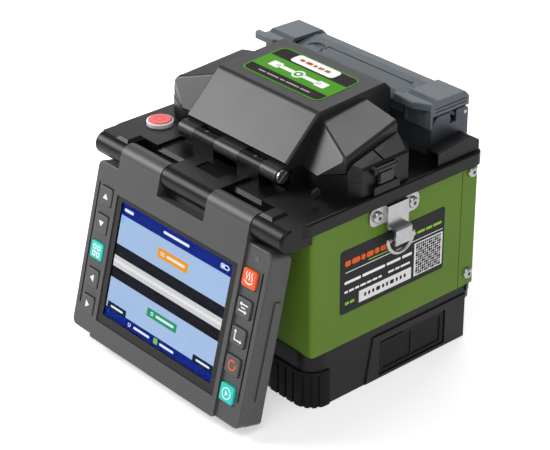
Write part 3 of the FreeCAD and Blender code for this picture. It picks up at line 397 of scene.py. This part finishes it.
def circle(x, y, radius, steps=40):
    angles = [2 * math.pi * i / steps for i in range(steps)]
    return [(x + radius * math.cos(a), y + radius * math.sin(a)) for a in angles]


def arc(x, y, radius, start, end, steps=24):
    """Points along an arc, angles in degrees."""
    angles = [math.radians(start + (end - start) * i / steps) for i in range(steps + 1)]
    return [(x + radius * math.cos(a), y + radius * math.sin(a)) for a in angles]


def line(points, width):
    """Outline of a line of a given width along points, with square joints and round ends."""
    left, right = [], []
    for i, point in enumerate(points):
        here = Vector(point)
        before = Vector(points[max(i - 1, 0)])
        after = Vector(points[min(i + 1, len(points) - 1)])
        inward = (here - before).normalized() if i else (after - here).normalized()
        outward = (after - here).normalized() if i < len(points) - 1 else inward
        middle = (inward + outward).normalized()
        side = Vector((-middle.y, middle.x))
        reach = width / 2 / max(0.5, side.dot(Vector((-inward.y, inward.x))))
        left.append(here + side * reach)
        right.append(here - side * reach)
    def cap(centre, way):
        angle = math.degrees(math.atan2(way.y, way.x))
        return arc(centre[0], centre[1], width / 2, angle - 90, angle + 90, 8)[1:-1]
    first = Vector(points[0]) - Vector(points[1])
    last = Vector(points[-1]) - Vector(points[-2])
    way_out, way_back = [tuple(p) for p in right], [tuple(p) for p in reversed(left)]
    return way_out + cap(points[-1], last) + way_back + cap(points[0], first)


def extrude(mesh, outline, low, high, slot, hole=None):
    """Adds a plate with that outline, from height low to high; hole has as many points as the outline."""
    def ring(points, height):
        return [mesh.verts.new((x, y, height)) for x, y in points]
    loops = [(ring(outline, low), ring(outline, high))]
    if hole:
        loops.append((ring(hole, low), ring(hole, high)))
    faces = []
    for index, (bottom, top) in enumerate(loops):
        for i in range(len(bottom)):
            j = (i + 1) % len(bottom)
            quad = [bottom[i], bottom[j], top[j], top[i]]
            faces.append(mesh.faces.new(quad if index == 0 else quad[::-1]))
    if hole:
        (bottom, top), (inner_bottom, inner_top) = loops
        for i in range(len(top)):
            j = (i + 1) % len(top)
            faces.append(mesh.faces.new([top[i], top[j], inner_top[j], inner_top[i]]))
            faces.append(mesh.faces.new([bottom[j], bottom[i], inner_bottom[i], inner_bottom[j]]))
    else:
        faces.append(mesh.faces.new(loops[0][1]))
        faces.append(mesh.faces.new(loops[0][0][::-1]))
    for face in faces:
        face.material_index = slot


def piece(name, body, plane, shapes):
    """One object made of flat plates, each (ink, outline, low, high) in mm, with a hole as a fifth if any."""
    inks = list(dict.fromkeys(shape[0] for shape in shapes))
    mesh = bmesh.new()
    for shape in shapes:
        hole = shape[4] if len(shape) > 4 else None
        extrude(mesh, shape[1], shape[2], shape[3], inks.index(shape[0]), hole)
    bmesh.ops.recalc_face_normals(mesh, faces=mesh.faces)
    data = bpy.data.meshes.new(name)
    mesh.to_mesh(data)
    mesh.free()
    data.transform(plane @ Matrix.Scale(MM, 4))
    for each in inks:
        data.materials.append(paint(each))
    made = bpy.data.objects.new(name, data)
    bpy.context.scene.collection.objects.link(made)
    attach(made, body)
    return made


# ------------------------------------------------------------------ the display's picture
def display_picture():
    """Live view of a fibre between its two edges, with tags and status bars that carry no words."""
    half, top, bottom = 42.3, -21.9, -82.8
    a, b, c, d = LCD_FACE + 0.01, LCD_FACE + 0.03, LCD_FACE + 0.05, LCD_FACE + 0.07

    def plate(colour, x0, x1, y0, y1, level=(a, b), radius=0.0):
        return (colour, rounded_box(x0, x1, y0, y1, radius), *level)

    on_field, on_tag = (b, c), (c, d)
    shapes = [
        plate("pixel_navy", -half, half, -28.7, top),
        plate("pixel_sky", -half, half, -44.0, -28.7),
        plate("pixel_black", -half, half, -61.8, -44.0),
        plate("pixel_sky", -half, half, -77.9, -61.8),
        plate("pixel_navy", -half, half, bottom, -77.9),
        plate("pixel_fibre", -half, half, -55.9, -50.0, on_field),
        plate("pixel_core", -half, half, -53.6, -52.2, on_tag),
        plate("pixel_orange", -11.5, 11.5, -39.0, -34.0, on_field, 0.6),
        plate("pixel_green", -11.5, 11.5, -70.4, -65.9, on_field, 0.6),
        plate("pixel_slate", -41.3, -26.4, -78.6, -74.6, on_field, 0.8),
        plate("pixel_slate", 26.0, 41.4, -78.6, -74.6, on_field, 0.8),
        plate("pixel_blue", -42.1, -39.6, -32.4, -28.9, on_field),
        plate("pixel_lime", -3.2, -0.2, -81.7, -78.7, on_field, 0.5),
    ]
    for y in (-37.4, -36.2):
        shapes.append(("pixel_white", line([(-9.4, y + 0.3), (-6.2, y + 0.3)], 0.45), c, d))
    shapes += [
        ("pixel_white", rounded_box(-4.6, 9.3, -37.2, -35.8, 0.6), c, d),
        ("pixel_white", rounded_box(-4.6, 9.3, -68.8, -67.4, 0.6), c, d),
        ("pixel_white", circle(-7.6, -68.1, 1.1, 24), c, d, circle(-7.6, -68.1, 0.6, 24)),
        ("pixel_white", rounded_box(-38.6, -29.0, -77.2, -76.1, 0.5), c, d),
        ("pixel_white", rounded_box(28.6, 38.8, -77.2, -76.1, 0.5), c, d),
        ("pixel_white", rounded_box(-9.8, 9.8, -26.2, -24.8, 0.6), b, c),
        ("pixel_white", rounded_box(-40.6, -33.6, -26.3, -24.7, 0.6), b, c),
        ("pixel_white", rounded_box(-19.2, -6.6, -81.0, -79.7, 0.6), b, c),
        ("pixel_white", rounded_box(1.4, 12.4, -81.0, -79.7, 0.6), b, c),
        ("pixel_white", rounded_box(33.2, 38.9, -26.6, -24.2, 0.5), b, c,
         rounded_box(33.7, 38.4, -26.1, -24.7, 0.3)),
        ("pixel_white", rounded_box(33.9, 36.2, -25.9, -24.9, 0.1), b, c),
        ("pixel_white", rounded_box(39.1, 39.6, -25.9, -24.9, 0.1), b, c),
        ("pixel_white", line(arc(-22.6, -80.3, 0.9, 120, 420), 0.45), b, c),
    ]
    piece("display_picture", "screen", SCREEN, shapes)
    window = rounded_box(-half, half, bottom, top, 0.4)
    rim = rounded_box(-46.0, 46.0, -87.5, -19.7, 0.7)
    back, front = LCD_FACE + 0.1, LCD_FACE + 1.4
    pane = piece("display_glass", "screen", SCREEN, [
        ("mask_black", rim, back, front, window),
        ("screen_glass", window, back, front),
    ])
    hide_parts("screen_glass")


# ------------------------------------------------------------------ printed marks
def bars(colour, x0, y, height, widths, low, high, gap=0.9):
    """A row of short bars, standing for a line of print."""
    made = []
    for width in widths:
        bar = rounded_box(x0, x0 + width, y - height / 2, y + height / 2, height * 0.3)
        made.append((colour, bar, low, high))
        x0 += width + gap
    return made


def side_label():
    """Rating plate with blank bars for its lines of print and a plain dot grid for its code block."""
    low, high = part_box("side_label")
    size = (high - low) / MM
    film, top = size.x - 0.08, size.x
    x0, x1, y0, y1 = low.y / MM, high.y / MM, low.z / MM, high.z / MM
    shapes = [("label_film", rounded_box(x0, x1, y0, y1, 1.6), 0.0, film)]
    shapes += bars("ink_orange", -35.4, 74.0, 2.9, (3.6, 5.2, 2.6, 4.4, 3.0, 4.0), film, top)
    shapes += bars("ink_lime", -20.0, 71.0, 0.5, (13.4,), film, top)
    shapes += bars("ink_white", -35.1, 69.2, 0.35, (38.2,), film, top)
    shapes += bars("ink_white", 8.0, 69.6, 0.35, (22.5,), film, top)
    shapes += bars("ink_lime", 8.9, 73.6, 1.4, (3.0, 5.2, 4.2, 5.8), film, top, 0.8)
    shapes += bars("ink_white", -35.6, 63.6, 1.5, (10.6, 15.0, 9.4, 6.6), film, top, 1.1)
    shapes += bars("ink_white", -35.6, 58.6, 1.1, (2.2, 3.4, 2.6, 3.8, 3.0, 3.2, 2.2), film, top, 0.7)
    shapes += bars("ink_white", -6.6, 58.8, 1.1, (4.0, 3.0, 6.4), film, top, 0.7)
    shapes += bars("ink_lime", -35.2, 52.2, 1.5, (2.6, 2.8), film, top, 0.7)
    shapes.append(("ink_strip", rounded_box(-26.0, 9.2, 49.5, 55.9, 0.3), film, top - 0.02))
    strip_marks = (1.4, 1.4, 1.4, 2.6, 1.4, 1.4, 2.6, 1.4, 1.4, 1.4)
    shapes += bars("ink_black", -22.6, 52.7, 2.2, strip_marks, top - 0.02, top, 1.3)
    code = rounded_box(11.0, 30.6, 49.6, 68.0, 0.3)
    shapes.append(("ink_strip", code, film, top - 0.02))
    cells = 12
    pitch = 17.4 / cells
    for i in range(cells):
        for j in range(cells):
            size_of_dot = pitch * (0.30 + 0.09 * ((i * j + i + 2 * j) % 3))
            x, y = 12.1 + pitch * (i + 0.5), 50.1 + pitch * (j + 0.5)
            dot = rounded_box(x - size_of_dot, x + size_of_dot, y - size_of_dot, y + size_of_dot, 0.0)
            shapes.append(("ink_black", dot, top - 0.02, top))
    made = piece("side_label_print", "root", SIDE, shapes)
    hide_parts("side_label")


def hood_label():
    """Badge on the hood: green film with dark bands, a white tab and a plain fibre symbol."""
    low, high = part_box("hood_label")
    middle = (low + high) / 2
    thick = 0.3
    half_x, half_y, margin = 28.2, 15.0, 0.9
    origin = Vector((0.0, middle.y, middle.z - thick / 2 * MM * math.cos(HOOD_SLOPE)))
    plane = facing(origin, (1, 0, 0), (0, math.cos(HOOD_SLOPE), math.sin(HOOD_SLOPE)))
    film, mark, top = thick - 0.12, thick - 0.06, thick
    rim = rounded_box(-half_x + margin, half_x - margin, -half_y + margin, half_y - margin, 3.2)
    shapes = [("hood_film", rounded_box(-half_x, half_x, -half_y, half_y, 4.0), 0.0, film)]

    edge = half_x - margin
    corner = len(rim) // 4
    lower_band = [(-edge, LOWER_BAND_Y)] + rim[3 * corner:] + rim[:corner] + [(edge, LOWER_BAND_Y)]
    upper_band = [(-edge, UPPER_BAND_Y), (edge, UPPER_BAND_Y)] + rim[corner:3 * corner]
    shapes.append(("ink_black", lower_band, film, mark))
    shapes.append(("ink_black", upper_band, film, mark))
    shapes.append(("ink_white", rounded_box(-15.4, 15.4, 6.2, half_y - 1.0, 2.2), mark, top))
    shapes += bars("ink_orange", -11.2, 10.2, 2.4, (3.2, 4.6, 2.4, 3.8, 3.6), mark, top, 1.0)
    for side in (-1, 1):
        fibre = [(side * 15.0, -1.4), (side * 4.2, -1.4)]
        shapes.append(("ink_white", line(fibre, 2.6), film, mark))
        sheath = rounded_box(min(side * 20, side * 13), max(side * 20, side * 13), -4.0, 1.2, 0.8)
        shapes.append(("ink_white", sheath, film, mark))
    shapes.append(("ink_white", circle(0.0, -1.4, 3.6, 40), film, mark, circle(0.0, -1.4, 2.5, 40)))
    shapes.append(("ink_white", circle(0.0, -1.4, 1.1, 20), film, mark))
    shapes += bars("ink_grey", -18.6, -11.0, 0.8, (5.0, 8.6, 3.2, 9.4, 6.6), mark, top, 1.1)
    made = piece("hood_label_print", "hood", plane, shapes)
    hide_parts("hood_label")


# ------------------------------------------------------------------ key symbols
def arrow_head(x, y, way, size):
    """Filled triangle pointing along way, (1, 0) for right."""
    forward, side = Vector(way), Vector((-way[1], way[0]))
    centre = Vector((x, y))
    tip, foot = centre + forward * size * 0.6, centre - forward * size * 0.6
    return [tuple(tip), tuple(foot + side * size * 0.85), tuple(foot - side * size * 0.85)]


def pointer(way):
    return [("ink_white", arrow_head(0, 0, way, 1.9))]


def menu_mark():
    shapes = []
    for x in (-1.35, 1.35):
        for y in (-1.45, 1.45):
            outer = rounded_box(x - 1.0, x + 1.0, y - 1.1, y + 1.1, 0.35)
            inner = rounded_box(x - 0.55, x + 0.55, y - 0.65, y + 0.65, 0.2)
            shapes.append(("ink_white", outer, inner))
    return shapes


def heat_mark():
    shapes = []
    for x in (-1.5, 0.0, 1.5):
        wave = [(x + 0.35 * math.sin(2 * math.pi * t / 10), -0.4 + 0.30 * t) for t in range(11)]
        shapes.append(("ink_white", line(wave, 0.45)))
    shapes.append(("ink_white", line(arc(0.0, 1.0, 3.0, 225, 315), 0.5)))
    return shapes


def swap_mark():
    shapes = []
    for y, side in ((1.4, -1), (-1.4, 1)):
        shapes.append(("ink_white", line([(-side * 2.3, y), (side * 1.0, y)], 0.5)))
        shapes.append(("ink_white", arrow_head(side * 1.7, y, (side, 0), 1.0)))
    shapes.append(("ink_white", line([(-1.0, 0.0), (1.0, 0.0)], 0.45)))
    return shapes


def axes_mark():
    shapes = [("ink_white", line([(-1.6, 1.6), (-1.6, -1.6), (1.6, -1.6)], 0.5))]
    shapes.append(("ink_white", arrow_head(-1.6, 2.2, (0, 1), 0.9)))
    shapes.append(("ink_white", arrow_head(2.2, -1.6, (1, 0), 0.9)))
    return shapes


def reset_mark():
    ring = line(arc(0.0, 0.0, 1.9, 60, 360), 0.62)
    return [("ink_orange", ring), ("ink_orange", arrow_head(1.9, 0.35, (0, 1), 0.95))]


def start_mark():
    ring = ("ink_white", circle(0, 0, 2.5, 32), circle(0, 0, 2.1, 32))
    return [ring, ("ink_white", arrow_head(0.15, 0.0, (1, 0), 1.25))]


# side of the screen, row from the top, and symbol of each key
KEY_MARKS = {
    "key_up": (-1, 0, pointer((0, 1))),
    "key_down": (-1, 1, pointer((0, -1))),
    "key_menu": (-1, 2, menu_mark()),
    "key_left": (-1, 3, pointer((-1, 0))),
    "key_right": (-1, 4, pointer((1, 0))),
    "key_heat": (1, 0, heat_mark()),
    "key_swap": (1, 1, swap_mark()),
    "key_axes": (1, 2, axes_mark()),
    "key_reset": (1, 3, reset_mark()),
    "key_start": (1, 4, start_mark()),
}


def key_symbols():
    """A symbol printed on each key cap, moving with its key."""
    for name, (column, row, marks) in KEY_MARKS.items():
        place = Matrix.Translation(Vector((column * KEY_COLUMN, -KEY_FIRST - row * KEY_PITCH, 0.0)) * MM)
        shapes = []
        for colour, *outlines in marks:
            outline, *hole = [[(x * MARK_SIZE, y * MARK_SIZE) for x, y in points] for points in outlines]
            shapes.append((colour, outline, KEY_FACE - 0.03, KEY_FACE + 0.04, *hole))
        piece(name + "_symbol", name, SCREEN @ place, shapes)


def saddle_patch():
    """Dark patch in the shallow field on top of the fixed middle barrel."""
    front = joint("screen_tilt")["pos_m"][1] / MM + 8.7
    back = joint("hood_open")["pos_m"][1] / MM - 7.7
    floor_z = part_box("power_button_ring")[1].z / MM - FIELD_BELOW_RING
    field = rounded_box(-8.5, 8.5, front, back, 0.6)
    piece("saddle_patch", "root", Matrix(), [("patch_black", field, floor_z - 0.02, floor_z + 0.15)])


def pin_head_finish():
    """Blackened face of the hood pin's slotted head: two half discs, with the slot left bright."""
    hinge = joint("hood_open")["pos_m"]
    origin = (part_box("hinge_pins")[1].x, hinge[1], hinge[2])
    slant = math.radians(PIN_SLOT_ANGLE)
    plane = facing(origin, (0, math.cos(slant), math.sin(slant)), (0, -math.sin(slant), math.cos(slant)))
    halves = [arc(0.0, 0.0, PIN_HEAD_RADIUS, start, start + 164) for start in (8, 188)]
    piece("pin_head_finish", "root", plane, [("pin_black", half, -0.02, 0.03) for half in halves])


def power_symbol():
    """Ring with a stroke through its gap, printed on the red cap."""
    middle = box_middle("power_button_lens")
    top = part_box("power_button_lens")[1].z
    plane = facing((middle.x, middle.y, top), (1, 0, 0), (0, 1, 0))
    shapes = [
        ("ink_rose", line(arc(0.0, 0.0, 2.6, 125, 415), 0.55), -0.03, 0.04),
        ("ink_rose", line([(0.0, 0.6), (0.0, 3.1)], 0.55), -0.03, 0.04),
    ]
    piece("power_symbol", "power_button", plane, shapes)


# ------------------------------------------------------------------ CAD nodes
def dress_nodes():
    """Gives each CAD node the material of its slot in the record."""
    for name, node in NODES.items():
        node.data.materials.clear()
        node.data.materials.append(paint(SLOT_OF[name]))


# ------------------------------------------------------------------ stage, lights and camera
def floor():
    mesh = bmesh.new()
    bmesh.ops.create_grid(mesh, x_segments=8, y_segments=8, size=4.0)
    data = bpy.data.meshes.new("floor")
    mesh.to_mesh(data)
    mesh.free()
    material, tree = blank("floor")
    soft = noise(tree, 400.0, 1.0)
    tone = blend(tree, soft, (0.86, 0.86, 0.86, 1.0), (0.88, 0.88, 0.88, 1.0))
    finish(material, tree, {
        "Base Color": tone, "Roughness": 0.9, "Specular IOR Level": 0.1,
        "Emission Color": (1.0, 1.0, 1.0, 1.0), "Emission Strength": 0.45,
    })
    data.materials.append(material)
    made = bpy.data.objects.new("floor", data)
    made.location.z = CAD_BOX[0].z
    bpy.context.scene.collection.objects.link(made)


def softbox(name, towards, distance, size, power):
    """Area light that faces the object from a direction."""
    lamp = bpy.data.lights.new(name, "AREA")
    lamp.shape = "RECTANGLE"
    lamp.size, lamp.size_y = size
    lamp.energy = power
    made = bpy.data.objects.new(name, lamp)
    way = Vector(towards).normalized()
    made.location = way * distance + Vector((0, 0, 0.08))
    made.rotation_mode = "QUATERNION"
    made.rotation_quaternion = way.to_track_quat("Z", "Y")
    bpy.context.scene.collection.objects.link(made)


def lights():
    world = bpy.data.worlds.new("studio")
    world.use_nodes = True
    background = world.node_tree.nodes["Background"]
    background.inputs[0].default_value = (0.95, 0.97, 1.0, 1.0)
    background.inputs[1].default_value = WORLD_STRENGTH
    bpy.context.scene.world = world
    softbox("key_left_front", (-0.70, -0.52, 0.52), 1.1, (0.5, 0.5), 9.5)
    softbox("rear_left", (-0.62, 0.66, 0.42), 1.2, (0.8, 0.4), 1.4)
    softbox("rear_top", (-0.25, 0.46, 0.85), 1.2, (0.45, 0.35), 3.6)
    softbox("overhead", (0.35, -0.3, 1.0), 1.5, (0.8, 0.8), 6.0)
    softbox("fill_right", (1.0, -0.35, 0.5), 1.4, (0.7, 0.7), 3.0)
    bpy.context.scene.view_settings.view_transform = "Standard"


def camera():
    data = bpy.data.cameras.new("camera")
    data.lens = CAMERA_LENS
    data.sensor_width = 36.0
    data.clip_start, data.clip_end = 0.05, 20.0
    made = bpy.data.objects.new("camera", data)
    made.location = CAMERA_PLACE
    made.rotation_euler = [math.radians(angle) for angle in CAMERA_TURN]
    bpy.context.scene.collection.objects.link(made)
    bpy.context.scene.camera = made


dress_nodes()
display_picture()
side_label()
hood_label()
key_symbols()
power_symbol()
saddle_patch()
pin_head_finish()
floor()
lights()
camera()
